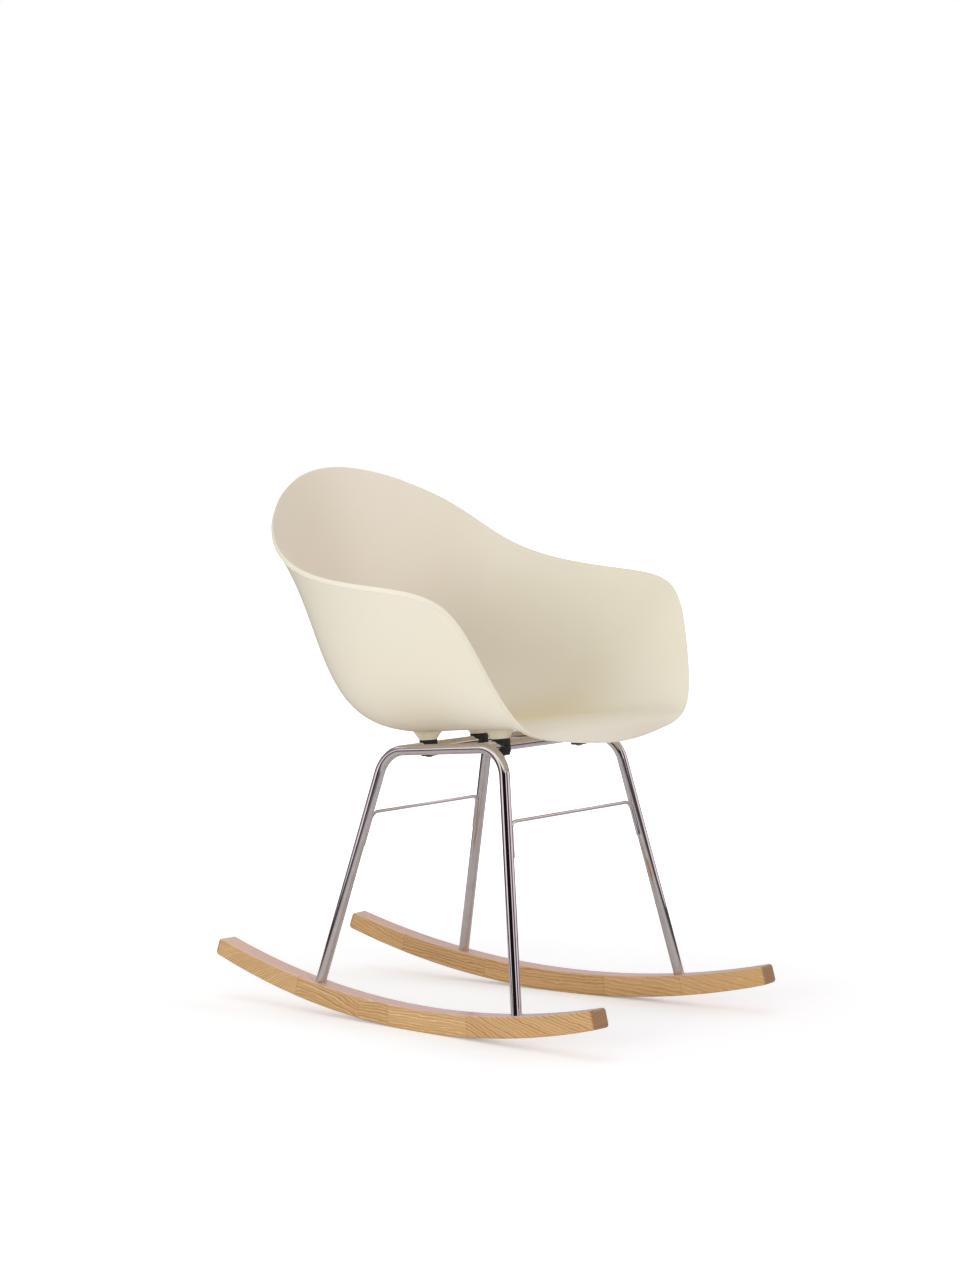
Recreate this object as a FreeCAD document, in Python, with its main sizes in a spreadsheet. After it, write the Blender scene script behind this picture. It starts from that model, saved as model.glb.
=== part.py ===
import FreeCAD, Part
import math
import os
import re
import Sketcher

Vector = FreeCAD.Vector
document = FreeCAD.newDocument("moulded_rocking_chair")

# Driving dimensions, in millimetres and degrees.
# Across is +X, to the sitter's left; along is +Y, to the back; height is +Z from the floor.
# Along is counted from the line where the runners touch the floor, until the last placement.
dimensions = {
    # wooden runners: two arcs that come closer together towards the ends
    "runner_bottom_radius": 1246,
    "runner_top_radius": 1345,
    "runner_height": 31,
    "runner_width": 30,
    "runner_front_angle": 15.2,
    "runner_rear_angle": 18.5,
    "runner_track": 369,
    "runner_end_round": 5,
    "runner_edge_round": 2,
    # how the runners and side frames open towards the front, and lean in towards the top
    "splay_angle": 4.7,
    "lean_angle": 9.25,
    # side frames of bent tube, measured in their own leaning plane from the runner's top
    "tube_diameter": 15,
    "tube_wall": 1.5,
    "tube_bend_radius": 45,
    "rear_foot_along": 196.5,
    "front_foot_along": 178.5,
    "rear_corner_along": 117,
    "rear_corner_rise": 350.4,
    "front_corner_along": 101.7,
    "front_corner_rise": 370,
    # how a leg sits in its runner, and the screw and threaded plug that hold it
    "foot_socket_depth": 10,
    "socket_clearance": 0.1,
    "screw_grip": 10,
    "plug_length": 24,
    "plug_clearance": 0.05,
    "screw_length": 30,
    "counterbore_diameter": 12,
    # stretcher rods with bent tails welded to the inner sides of the legs
    "rod_diameter": 5,
    "rod_bend_radius": 12,
    "rod_tail": 50,
    "weld_gap": 0.1,
    "cope_stop": 2.5,
    "rear_rod_height": 288,
    "front_rod_height": 296,
    # the four seat mounts on the two cross tubes
    "mount_centre_along": 5.5,
    "mount_depth": 154,
    "front_mount_spacing": 186,
    "rear_mount_spacing": 120,
    "block_diameter": 26,
    "block_cover": 2.5,
    "block_split": 0.6,
    "groove_clearance": 0.1,
    "saddle_depth": 4,
    "saddle_cap_diameter": 22,
    "saddle_cap_depth": 2.5,
    "saddle_cap_round": 1.5,
    # fasteners and threaded inserts
    "bolt_diameter": 6,
    "bolt_hole_clearance": 0.3,
    "thread_clearance": 0.05,
    "bolt_head_diameter": 10.5,
    "bolt_head_height": 3.6,
    "bolt_head_bevel": 1.6,
    "hex_width": 4,
    "hex_depth": 2.2,
    "insert_diameter": 10,
    "insert_length": 12,
    "bolt_end_gap": 1.5,
    # moulded seat shell, measured in its own frame: the plane of its four boss ends
    "boss_draft": 30,
    "boss_reach": 40,
    "shell_wall": 4.5,
    "seat_centre_along": 21.8,
    "seat_centre_height": 18,
    "seat_slope": -0.04,
    "floor_inner_share": 0.35,
    "floor_outer_share": 0.88,
    "wall_lower_share": 0.90,
    "wall_upper_share": 0.45,
}

# Half of the shell's rim, from the middle of the front lip round one arm to the middle of the back.
# Each station has the rim point, the floor corner that its wall springs from, how far the wall is
# drawn in under the rim, and how far it bellies out lower down.
shell_stations = {
    "lip_middle": ((0, -213, -14), (0, -200, 33), 0, 0),
    "lip_side": ((118, -201, -1), (115, -194, 30), 0, 0),
    "lip_corner": ((202, -186, 32), (185, -161, 21), 0, 0),
    "arm_rise": ((245, -166, 112), (205, -103, 11), 0, 0),
    "arm_front": ((280, -133, 189), (206, -62, 7), 7, 8),
    "arm_middle": ((306, -53, 220), (204, -7, 6), 16, 18),
    "arm_rear": ((300, 56, 241), (198, 57, 4), 28, 33),
    "shoulder": ((265, 154, 283), (170, 119, 4), 35, 41),
    "back_corner": ((184, 218, 355), (110, 162, 6), 35, 41),
    "back_top": ((0, 262, 403), (0, 180, 9), 26, 31),
}
for station, (rim, floor, hollow, belly) in shell_stations.items():
    for place, point in (("rim", rim), ("floor", floor)):
        for direction, value in zip(("across", "along", "height"), point):
            dimensions[place + "_" + station + "_" + direction] = value
    dimensions["hollow_" + station] = hollow
    dimensions["belly_" + station] = belly

sheet = document.addObject("Spreadsheet::Sheet", "dimensions")
for row, (name, value) in enumerate(dimensions.items(), start=1):
    sheet.set("A%d" % row, name.replace("_", " "))
    sheet.set("B%d" % row, str(value))
    sheet.setAlias("B%d" % row, name)
document.recompute()


def size(name):
    return float(sheet.get(name))


def bound(formula):
    """The formula with each dimension's name pointing at its cell."""
    return re.sub(r"[a-z_]+", lambda word: ("dimensions." if word.group() in dimensions else "") + word.group(),
                  formula)


def value_of(formula):
    return float(sheet.evalExpression(bound(formula)))


def turn(angle):
    return math.sin(math.radians(angle)), math.cos(math.radians(angle))


def basis(origin, right, ahead):
    """A placement whose X and Y axes point along right and ahead."""
    right = Vector(right).normalize()
    upward = right.cross(ahead).normalize()
    ahead = upward.cross(right)
    matrix = FreeCAD.Matrix(right.x, ahead.x, upward.x, origin.x,
                            right.y, ahead.y, upward.y, origin.y,
                            right.z, ahead.z, upward.z, origin.z,
                            0, 0, 0, 1)
    return FreeCAD.Placement(matrix)


# Helpers for bodies and sketches

def new_body(label):
    body = document.addObject("PartDesign::Body", label)
    body.Label = label
    return body


def new_sketch(body, name, plane):
    sketch = body.newObject("Sketcher::SketchObject", name)
    face = [feature for feature in body.Origin.OriginFeatures if feature.Role == plane][0]
    sketch.AttachmentSupport = (face, [""])
    sketch.MapMode = "FlatFace"
    return sketch


def hold(sketch, constraint, formula):
    """Add a sized constraint and bind it to its cells."""
    index = sketch.addConstraint(constraint)
    sketch.setExpression("Constraints[%d]" % index, bound(formula))


def hold_point(sketch, geometry, end, across, upward):
    """Keep one end of a sketch element at a place, given as two formulas."""
    for kind, axis, formula in (("DistanceX", -2, across), ("DistanceY", -1, upward)):
        if abs(value_of(formula)) < 1e-9:
            sketch.addConstraint(Sketcher.Constraint("PointOnObject", geometry, end, axis))
        else:
            hold(sketch, Sketcher.Constraint(kind, -1, 1, geometry, end, value_of(formula)), formula)


def outline(sketch, corners):
    """A closed outline of straight lines through corners given as pairs of formulas."""
    points = [Vector(value_of(across), value_of(upward), 0) for across, upward in corners]
    for number, point in enumerate(points):
        sketch.addGeometry(Part.LineSegment(point, points[(number + 1) % len(points)]))
    for number, (across, upward) in enumerate(corners):
        previous = (number - 1) % len(points)
        sketch.addConstraint(Sketcher.Constraint("Coincident", previous, 2, number, 1))
        hold_point(sketch, number, 1, across, upward)


def turned_body(label, corners):
    """A body turned about its own Z axis from a half profile of radius and height formulas."""
    body = new_body(label)
    sketch = new_sketch(body, label + "_profile", "XZ_Plane")
    outline(sketch, corners)
    revolution = body.newObject("PartDesign::Revolution", label + "_turned")
    revolution.Profile = sketch
    revolution.ReferenceAxis = (sketch, ["V_Axis"])
    revolution.Angle = 360
    return body


def ring_corners(inner, outer, bottom, top):
    return [(inner, bottom), (outer, bottom), (outer, top), (inner, top)]


def circle(sketch, formula):
    radius = value_of(formula)
    index = sketch.addGeometry(Part.Circle(Vector(0, 0, 0), Vector(0, 0, 1), radius))
    sketch.addConstraint(Sketcher.Constraint("Coincident", index, 3, -1, 1))
    hold(sketch, Sketcher.Constraint("Radius", index, radius), formula)


def bent_path(sketch, corners, bend):
    """Straight runs through the corners, which go anticlockwise, joined by tangent arcs."""
    points = [Vector(value_of(across), value_of(upward), 0) for across, upward in corners]
    radius = value_of(bend)
    starts, ends, arcs = [points[0]], [], []
    for before, corner, after in zip(points, points[1:], points[2:]):
        back = (before - corner).normalize()
        ahead = (after - corner).normalize()
        half_turn = (math.pi - back.getAngle(ahead)) / 2
        reach = radius * math.tan(half_turn)
        centre = corner + (back + ahead).normalize() * (radius / math.cos(half_turn))
        middle = centre + (corner - centre).normalize() * radius
        ends.append(corner + back * reach)
        starts.append(corner + ahead * reach)
        arcs.append(Part.Arc(ends[-1], middle, starts[-1]))
    ends.append(points[-1])
    runs = [sketch.addGeometry(Part.LineSegment(start, end)) for start, end in zip(starts, ends)]
    bends = [sketch.addGeometry(arc) for arc in arcs]
    hold_point(sketch, runs[0], 1, *corners[0])
    hold_point(sketch, runs[-1], 2, *corners[-1])
    for number, arc in enumerate(bends):
        sketch.addConstraint(Sketcher.Constraint("Tangent", runs[number], 2, arc, 1))
        sketch.addConstraint(Sketcher.Constraint("Tangent", arc, 2, runs[number + 1], 1))
        hold(sketch, Sketcher.Constraint("Radius", arc, radius), bend)
        mark = sketch.addGeometry(Part.Point(points[number + 1]), True)
        hold_point(sketch, mark, 1, *corners[number + 1])
        sketch.addConstraint(Sketcher.Constraint("PointOnObject", mark, 1, runs[number]))
        sketch.addConstraint(Sketcher.Constraint("PointOnObject", mark, 1, runs[number + 1]))
    return points


def bent_bar(label, corners, bend, radii):
    """A round bar or tube along a bent path; the second radius, if any, is its bore."""
    body = new_body(label)
    path = new_sketch(body, label + "_path", "XY_Plane")
    points = bent_path(path, corners, bend)
    section = new_sketch(body, label + "_section", "XY_Plane")
    direction = points[1] - points[0]
    section.AttachmentOffset = FreeCAD.Placement(points[0], FreeCAD.Rotation(Vector(0, 0, 1), direction))
    for radius in radii:
        circle(section, radius)
    pipe = body.newObject("PartDesign::AdditivePipe", label + "_pipe")
    pipe.Profile = section
    pipe.Spine = path
    return body


# Where the base stands: each side has a leaning plane over its runner

splay_sine, splay_cosine = turn(size("splay_angle"))
lean_sine, lean_cosine = turn(size("lean_angle"))
sides = {"right": -1, "left": 1}

# The front and rear ends of the runners set the middle of the chair's footprint
front_sine = turn(size("runner_front_angle"))[0]
rear_sine = turn(size("runner_rear_angle"))[0]
contact_along = -size("runner_bottom_radius") * splay_cosine * (rear_sine - front_sine) / 2


def runner_top(along):
    """Height of the runner's top above its top at the contact line."""
    return size("runner_top_radius") - math.sqrt(size("runner_top_radius") ** 2 - along ** 2)


mean_foot_rise = (runner_top(size("rear_foot_along")) + runner_top(size("front_foot_along"))) / 2


class Side:
    """Directions and points of one side of the base."""

    def __init__(self, sign):
        self.along = Vector(-sign * splay_sine, splay_cosine, 0)
        self.outward = Vector(sign * splay_cosine, splay_sine, 0)
        self.rise = Vector(0, 0, lean_cosine) - self.outward * lean_sine
        self.contact = Vector(sign * size("runner_track") / 2, contact_along, 0)
        drift = mean_foot_rise * lean_sine / lean_cosine
        self.origin = self.contact + Vector(0, 0, size("runner_height")) + self.outward * drift

    def point(self, along, rise):
        return self.origin + self.along * along + self.rise * rise


foot_rise = "(runner_top_radius - sqrt(runner_top_radius ^ 2 - %s ^ 2) - foot_socket_depth) / cos(lean_angle)"
frame_corners = [
    ("rear_foot_along", foot_rise % "rear_foot_along"),
    ("rear_corner_along", "rear_corner_rise"),
    ("-front_corner_along", "front_corner_rise"),
    ("-front_foot_along", foot_rise % "front_foot_along"),
]
rear_foot, rear_corner, front_corner, front_foot = [
    (value_of(along), value_of(rise)) for along, rise in frame_corners]


# Runners: solid wood, cut square at the ends, with a socket for each leg

def long_edges(shape, across):
    """Names of the edges that run across the runner, or of all the others."""
    names = []
    for number, edge in enumerate(shape.Edges, start=1):
        ends = edge.Vertexes[-1].Point - edge.Vertexes[0].Point
        if (abs(ends.z) > 0.5 * size("runner_width")) == across:
            names.append("Edge%d" % number)
    return names


def runner_blank(label):
    body = new_body(label)
    sketch = new_sketch(body, label + "_outline", "XY_Plane")
    bottom = size("runner_bottom_radius")
    top = size("runner_top_radius")
    centre_gap = size("runner_height") + top - bottom
    corners = {}
    for end, sign, angle in (("front", -1, size("runner_front_angle")), ("rear", 1, size("runner_rear_angle"))):
        sine, cosine = turn(angle)
        reach = math.sqrt(top ** 2 - (centre_gap * sine) ** 2) - centre_gap * cosine
        corners[end] = (Vector(sign * bottom * sine, bottom - bottom * cosine, 0),
                        Vector(sign * reach * sine, bottom - reach * cosine, 0))
    low = sketch.addGeometry(Part.Arc(corners["front"][0], Vector(0, 0, 0), corners["rear"][0]))
    rear = sketch.addGeometry(Part.LineSegment(*corners["rear"]))
    high = sketch.addGeometry(Part.Arc(corners["front"][1], Vector(0, size("runner_height"), 0), corners["rear"][1]))
    front = sketch.addGeometry(Part.LineSegment(corners["front"][1], corners["front"][0]))
    for first, first_end, second, second_end in ((low, 2, rear, 1), (rear, 2, high, 2), (high, 1, front, 1),
                                                 (front, 2, low, 1)):
        sketch.addConstraint(Sketcher.Constraint("Coincident", first, first_end, second, second_end))
    hold_point(sketch, low, 3, "0", "runner_bottom_radius")
    hold_point(sketch, high, 3, "0", "runner_top_radius + runner_height")
    hold(sketch, Sketcher.Constraint("Radius", low, bottom), "runner_bottom_radius")
    hold(sketch, Sketcher.Constraint("Radius", high, top), "runner_top_radius")
    sketch.addConstraint(Sketcher.Constraint("PointOnObject", low, 3, rear))
    sketch.addConstraint(Sketcher.Constraint("PointOnObject", low, 3, front))
    for end, formula in ((1, "-runner_bottom_radius * sin(runner_front_angle)"),
                         (2, "runner_bottom_radius * sin(runner_rear_angle)")):
        hold(sketch, Sketcher.Constraint("DistanceX", -1, 1, low, end, value_of(formula)), formula)
    pad = body.newObject("PartDesign::Pad", label + "_plank")
    pad.Profile = sketch
    pad.SideType = "Symmetric"
    pad.setExpression("Length", bound("runner_width"))
    document.recompute()
    last = pad
    for name, across, radius in (("ends", True, "runner_end_round"), ("edges", False, "runner_edge_round")):
        fillet = body.newObject("PartDesign::Fillet", label + "_" + name)
        fillet.Base = (last, long_edges(last.Shape, across))
        fillet.setExpression("Radius", bound(radius))
        document.recompute()
        last = fillet
    return body


def foot_cutter(label):
    """What is cut from a runner for one leg: socket, screw hole and counterbore, about the leg's axis."""
    hole = "bolt_diameter / 2 + bolt_hole_clearance"
    socket = "tube_diameter / 2 + socket_clearance"
    return turned_body(label, [
        ("0", "-screw_grip - 2 * runner_height"),
        ("counterbore_diameter / 2", "-screw_grip - 2 * runner_height"),
        ("counterbore_diameter / 2", "-screw_grip"),
        (hole, "-screw_grip"),
        (hole, "0"),
        (socket, "0"),
        (socket, "2 * foot_socket_depth"),
        ("0", "2 * foot_socket_depth"),
    ])


def leg_ends(side):
    """The bottom centre of each leg tube and the direction up the leg."""
    for end, foot, corner in (("front", front_foot, front_corner), ("rear", rear_foot, rear_corner)):
        bottom = side.point(*foot)
        yield end, bottom, (side.point(*corner) - bottom).normalize()


def fastener(label, length):
    """A button-head screw with a hexagon socket, its seat at zero and its shank upwards."""
    body = turned_body(label, [
        ("0", "-bolt_head_height"),
        ("bolt_head_diameter / 2 - bolt_head_bevel", "-bolt_head_height"),
        ("bolt_head_diameter / 2", "bolt_head_bevel - bolt_head_height"),
        ("bolt_head_diameter / 2", "0"),
        ("bolt_diameter / 2", "0"),
        ("bolt_diameter / 2", length),
        ("0", length),
    ])
    document.recompute()
    sketch = new_sketch(body, label + "_hexagon", "XY_Plane")
    sketch.setExpression("AttachmentOffset.Base.z", bound("-bolt_head_height"))
    corners = []
    for number in range(6):
        place = (number * 60 + 30, number * 60 + 30)
        corners.append(("hex_width / sqrt(3) * cos(%d)" % place[0], "hex_width / sqrt(3) * sin(%d)" % place[1]))
    outline(sketch, corners)
    pocket = body.newObject("PartDesign::Pocket", label + "_key")
    pocket.Profile = sketch
    pocket.Reversed = True
    pocket.setExpression("Length", bound("hex_depth"))
    return body


parts = []
leg_axes = {}
copes = []
for side_name, sign in sides.items():
    side = Side(sign)
    blank = runner_blank(side_name + "_runner_plank")
    blank.Placement = basis(side.contact, side.along, Vector(0, 0, 1))
    cut = blank
    for end, bottom, upward in leg_ends(side):
        leg = end + "_" + side_name
        leg_axes[leg] = (bottom, upward)
        across = upward.cross(Vector(0, 1, 0))
        place = basis(bottom, -across, upward.cross(-across))
        cutter = foot_cutter(leg + "_foot_cutter")
        cutter.Placement = place
        cut_name = side_name + "_runner" if end == "rear" else side_name + "_runner_first_socket"
        runner = document.addObject("Part::Cut", cut_name)
        runner.Base = cut
        runner.Tool = cutter
        cut = runner
        plug = turned_body(leg + "_leg_plug", ring_corners(
            "bolt_diameter / 2 + thread_clearance", "tube_diameter / 2 - tube_wall - plug_clearance",
            "0", "plug_length"))
        plug.Placement = place
        screw = fastener(leg + "_runner_screw", "screw_length")
        screw.Placement = FreeCAD.Placement(bottom - upward * size("screw_grip"), place.Rotation)
        parts += [plug, screw]
    parts.append(cut)

    # Side frame: one tube bent into an upside-down U
    frame = bent_bar(side_name + "_side_frame", frame_corners, "tube_bend_radius",
                     ["tube_diameter / 2", "tube_diameter / 2 - tube_wall"])
    frame.Placement = basis(side.origin, side.along, side.rise)
    parts.append(frame)
    cope = bent_bar(side_name + "_cope", frame_corners, "tube_bend_radius", ["tube_diameter / 2 + weld_gap"])
    cope.Placement = frame.Placement
    copes.append(cope)


# Where the seat mounts are: a plane through the top runs of both side frames

left = Side(sides["left"])
run_rear = left.point(*rear_corner)
run_front = left.point(*front_corner)
run = run_front - run_rear
pitch = math.atan2(run.z, -run.y)
mount_along = Vector(0, math.cos(pitch), -math.sin(pitch))
mount_up = Vector(0, math.sin(pitch), math.cos(pitch))


def run_point(along):
    """The point of the left top run's centre line at a distance along the chair."""
    return run_rear + run * ((along - run_rear.y) / run.y)


mount_middle = run_point(size("mount_centre_along") + contact_along)
mount_middle.x = 0
mounts = {}
for end, sign, spacing in (("front", -1, "front_mount_spacing"), ("rear", 1, "rear_mount_spacing")):
    centre = mount_middle + mount_along * (sign * size("mount_depth") / 2)
    for side_name, side_sign in sides.items():
        mounts[end + "_" + side_name] = centre + Vector(side_sign * size(spacing) / 2, 0, 0)


# Cross tubes: coped onto the top runs and drilled for the seat bolts

def cylinder(label, radius, length, place):
    solid = document.addObject("Part::Cylinder", label)
    solid.setExpression("Radius", bound(radius))
    if isinstance(length, str):
        solid.setExpression("Height", bound(length))
    else:
        solid.Height = length
    solid.Placement = place
    return solid


for end in ("front", "rear"):
    centre = (mounts[end + "_right"] + mounts[end + "_left"]) / 2
    joint = run_point(centre.y)
    reach = joint.x - size("cope_stop")
    start = Vector(-reach, joint.y, joint.z)
    lie = FreeCAD.Rotation(Vector(0, 0, 1), Vector(1, 0, 0))
    place = FreeCAD.Placement(start, lie)
    tube = document.addObject("Part::Cut", end + "_cross_tube_stock")
    tube.Base = cylinder(end + "_cross_tube_outside", "tube_diameter / 2", 2 * reach, place)
    tube.Tool = cylinder(end + "_cross_tube_bore", "tube_diameter / 2 - tube_wall", 2 * reach, place)
    tools = list(copes)
    for side_name in sides:
        low = mounts[end + "_" + side_name] - mount_up * size("tube_diameter")
        drill = FreeCAD.Placement(low, FreeCAD.Rotation(Vector(0, 0, 1), mount_up))
        tools.append(cylinder(end + "_" + side_name + "_bolt_hole", "bolt_diameter / 2 + bolt_hole_clearance",
                              "2 * tube_diameter", drill))
    joined = document.addObject("Part::MultiFuse", end + "_cross_tube_cutters")
    joined.Shapes = tools
    cross_tube = document.addObject("Part::Cut", end + "_cross_tube")
    cross_tube.Base = tube
    cross_tube.Tool = joined
    parts.append(cross_tube)


# Stretcher rods: they lie in the plane of a pair of legs and their tails follow the legs down

for end in ("front", "rear"):
    bottom, upward = leg_axes[end + "_left"]
    plane_up = Vector(0, upward.y, upward.z)
    steep = plane_up.Length
    plane_up.normalize()
    slope = upward.x / steep
    level = (size(end + "_rod_height") - bottom.z) / plane_up.z
    inset = size("tube_diameter") / 2 + size("rod_diameter") / 2 + size("weld_gap")
    corner_across = bottom.x + slope * level - inset / steep
    tail_across = corner_across - upward.x * size("rod_tail")
    tail_level = level - steep * size("rod_tail")
    corners = [("%.6f" % across, "%.6f" % height) for across, height in (
        (tail_across, tail_level), (corner_across, level), (-corner_across, level), (-tail_across, tail_level))]
    rod = bent_bar(end + "_stretcher_rod", corners, "rod_bend_radius", ["rod_diameter / 2"])
    rod.Placement = basis(Vector(0, bottom.y, bottom.z), Vector(1, 0, 0), plane_up)
    parts.append(rod)


# Seat mounts: a block and a saddle clasp the cross tube, and a bolt runs up into an insert in the boss

def grooved(body, label):
    """Cut the groove for the cross tube, along the body's own X axis."""
    document.recompute()
    sketch = new_sketch(body, label + "_groove_circle", "YZ_Plane")
    circle(sketch, "tube_diameter / 2 + groove_clearance")
    pocket = body.newObject("PartDesign::Pocket", label + "_groove")
    pocket.Profile = sketch
    pocket.SideType = "Symmetric"
    pocket.setExpression("Length", bound("2 * block_diameter"))


bolt_hole = "bolt_diameter / 2 + bolt_hole_clearance"
block_top = "tube_diameter / 2 + block_cover"
saddle_bottom = "-tube_diameter / 2 - saddle_depth"
for name, centre in mounts.items():
    place = basis(centre, Vector(1, 0, 0), mount_along)
    block = turned_body(name + "_mount_block", ring_corners(
        bolt_hole, "block_diameter / 2", "block_split / 2", block_top))
    grooved(block, name + "_mount_block")
    saddle = turned_body(name + "_lower_saddle", [
        (bolt_hole, saddle_bottom),
        ("saddle_cap_diameter / 2 - saddle_cap_round", saddle_bottom),
        ("saddle_cap_diameter / 2", saddle_bottom + " + saddle_cap_round"),
        ("saddle_cap_diameter / 2", saddle_bottom + " + saddle_cap_depth"),
        ("block_diameter / 2", saddle_bottom + " + saddle_cap_depth"),
        ("block_diameter / 2", "-block_split / 2"),
        (bolt_hole, "-block_split / 2"),
    ])
    grooved(saddle, name + "_lower_saddle")
    bolt = fastener(name + "_seat_bolt",
                    "tube_diameter + saddle_depth + block_cover + insert_length - bolt_end_gap")
    insert = turned_body(name + "_boss_insert", ring_corners(
        "bolt_diameter / 2 + thread_clearance", "insert_diameter / 2", "0", "insert_length"))
    block.Placement = place
    saddle.Placement = place
    bolt.Placement = FreeCAD.Placement(centre + mount_up * value_of(saddle_bottom), place.Rotation)
    insert.Placement = FreeCAD.Placement(centre + mount_up * value_of(block_top), place.Rotation)
    parts += [block, saddle, bolt, insert]


# Seat shell: rings of points from the middle of the seat out to the rim, made into smooth surfaces

def ring(point_of):
    """A closed ring of points: the stations of one half, and their mirror images back again."""
    half = [point_of(station) for station in shell_stations]
    mirrored = [Vector(-point.x, point.y, point.z) for point in half[-2:0:-1]]
    return half + mirrored


def station_point(place, station):
    return Vector(*(size(place + "_" + station + "_" + direction) for direction in ("across", "along", "height")))


seat_centre = Vector(0, size("seat_centre_along"), size("seat_centre_height"))


def inner_rings():
    """Rings of the sitting surface. Each radial line leaves the seat centre, nears the floor corner
    and rises to the rim, bellied out low on the wall and drawn in under the rim."""

    def on_floor(share):
        return ring(lambda station: seat_centre + (station_point("floor", station) - seat_centre) * share)

    def about_centre(share):
        points = on_floor(share)
        for point in points:
            point.z = seat_centre.z + size("seat_slope") * (point.y - seat_centre.y)
        return points

    def on_wall(share, drawn_in):
        def place(station):
            rim_point = station_point("rim", station)
            inward = Vector(-rim_point.x, seat_centre.y - rim_point.y, 0).normalize()
            leaning = rim_point + (station_point("floor", station) - rim_point) * share
            return leaning + inward * drawn_in(station)
        return ring(place)

    return [on_floor(0), about_centre(size("floor_inner_share")), on_floor(size("floor_outer_share")),
            on_wall(size("wall_lower_share"), lambda station: -size("belly_" + station)),
            on_wall(size("wall_upper_share"), lambda station: size("hollow_" + station)),
            ring(lambda station: station_point("rim", station))]


def ring_normals(rings):
    """Outward directions: the cross product of the directions round each ring and across the rings."""
    count = len(rings[0])
    normals = [[Vector(0, 0, -1)] * count]
    for number in range(1, len(rings)):
        inside = rings[number - 1]
        outside = rings[min(number + 1, len(rings) - 1)]
        row = []
        for place in range(count):
            around = rings[number][(place + 1) % count] - rings[number][place - 1]
            row.append((outside[place] - inside[place]).cross(around).normalize() * -1)
        normals.append(row)
    return normals


def moved(rings, normals, distance):
    return [[point + normal * distance for point, normal in zip(points, directions)]
            for points, directions in zip(rings, normals)]


def spline_poles(points):
    """Poles of the even, closed cubic spline that passes through the points."""
    count = len(points)
    fade = math.sqrt(3) - 2
    weights = [math.sqrt(3) * (fade ** step + fade ** (count - step)) / (1 - fade ** count)
               for step in range(count)]
    poles = []
    for place in range(count):
        pole = Vector(0, 0, 0)
        for step, weight in enumerate(weights):
            pole += points[(place + step) % count] * weight
        poles.append(pole)
    return poles


def ring_face(rings):
    """A smooth face across closed rings: one Bezier span outwards, an even cubic spline round."""
    degree = len(rings) - 1
    count = len(rings[0])
    surface = Part.BSplineSurface()
    surface.buildFromPolesMultsKnots([spline_poles(points) for points in rings], [degree + 1] * 2,
                                     [1] * (count + 1), [0, 1], list(range(count + 1)), False, True, degree, 3)
    return surface.toShape()


def closed_solid(faces):
    joined = Part.makeCompound(faces)
    joined.sewShape()
    solid = Part.makeSolid(joined.Shells[0])
    if solid.Volume < 0:
        solid.reverse()
    return solid


def shell_solid():
    wall = size("shell_wall")
    inner = inner_rings()
    normals = ring_normals(inner)
    outer = moved(inner, normals, wall)
    edge_in, edge_out = inner[-1], outer[-1]

    # The rim's edge is rounded by three flats, the sides of half a hexagon as wide as the wall
    lead = [(edge - below).normalize() * (wall * math.sqrt(3) / 4) for edge, below in zip(inner[-1], inner[-2])]
    bevel_in = [near * 0.75 + far * 0.25 + step for near, far, step in zip(edge_in, edge_out, lead)]
    bevel_out = [near * 0.25 + far * 0.75 + step for near, far, step in zip(edge_in, edge_out, lead)]
    bands = [edge_in, bevel_in, bevel_out, edge_out]
    flats = [ring_face(list(pair)) for pair in zip(bands, bands[1:])]
    bucket = closed_solid([ring_face(inner), ring_face(outer)] + flats)

    # What the bosses may not reach: all that is above the middle of the wall
    middle = moved(inner, normals, wall / 2)
    apex = Vector(0, seat_centre.y, 3 * size("rim_back_top_height"))
    above = closed_solid([ring_face(middle), ring_face([middle[-1], [apex] * len(edge_in)])])
    reach = size("boss_reach")
    radius = size("block_diameter") / 2
    spread = reach * math.tan(math.radians(size("boss_draft")))
    for name, centre in mounts.items():
        foot = shell_place.inverse().multVec(centre + mount_up * value_of(block_top))
        boss = Part.makeCone(radius, radius + spread, reach, foot, Vector(0, 0, 1)).cut(above)
        bore = Part.makeCylinder(size("insert_diameter") / 2, size("insert_length"), foot, Vector(0, 0, 1))
        bucket = bucket.fuse(boss).cut(bore)
    return bucket


shell_place = basis(mount_middle + mount_up * value_of(block_top), Vector(1, 0, 0), mount_along)
seat_shell = document.addObject("Part::Feature", "seat_shell")
seat_shell.Shape = shell_solid()
seat_shell.Placement = shell_place
parts.append(seat_shell)


# Check every object and write each piece

document.recompute()
for item in document.Objects:
    if "Invalid" in item.State or "Error" in item.State:
        raise RuntimeError(item.Label + " failed: " + str(item.State))
os.makedirs("parts", exist_ok=True)
for piece in parts:
    shape = piece.Shape
    if shape.isNull() or not shape.isValid() or len(shape.Solids) != 1:
        raise RuntimeError(piece.Label + " is not one valid solid")
    shape.exportStep(os.path.join("parts", piece.Label + ".step"))
print("pieces written:", len(parts))
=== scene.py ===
from math import atan2, comb, cos, pi, radians, sin, sqrt, tan

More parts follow.
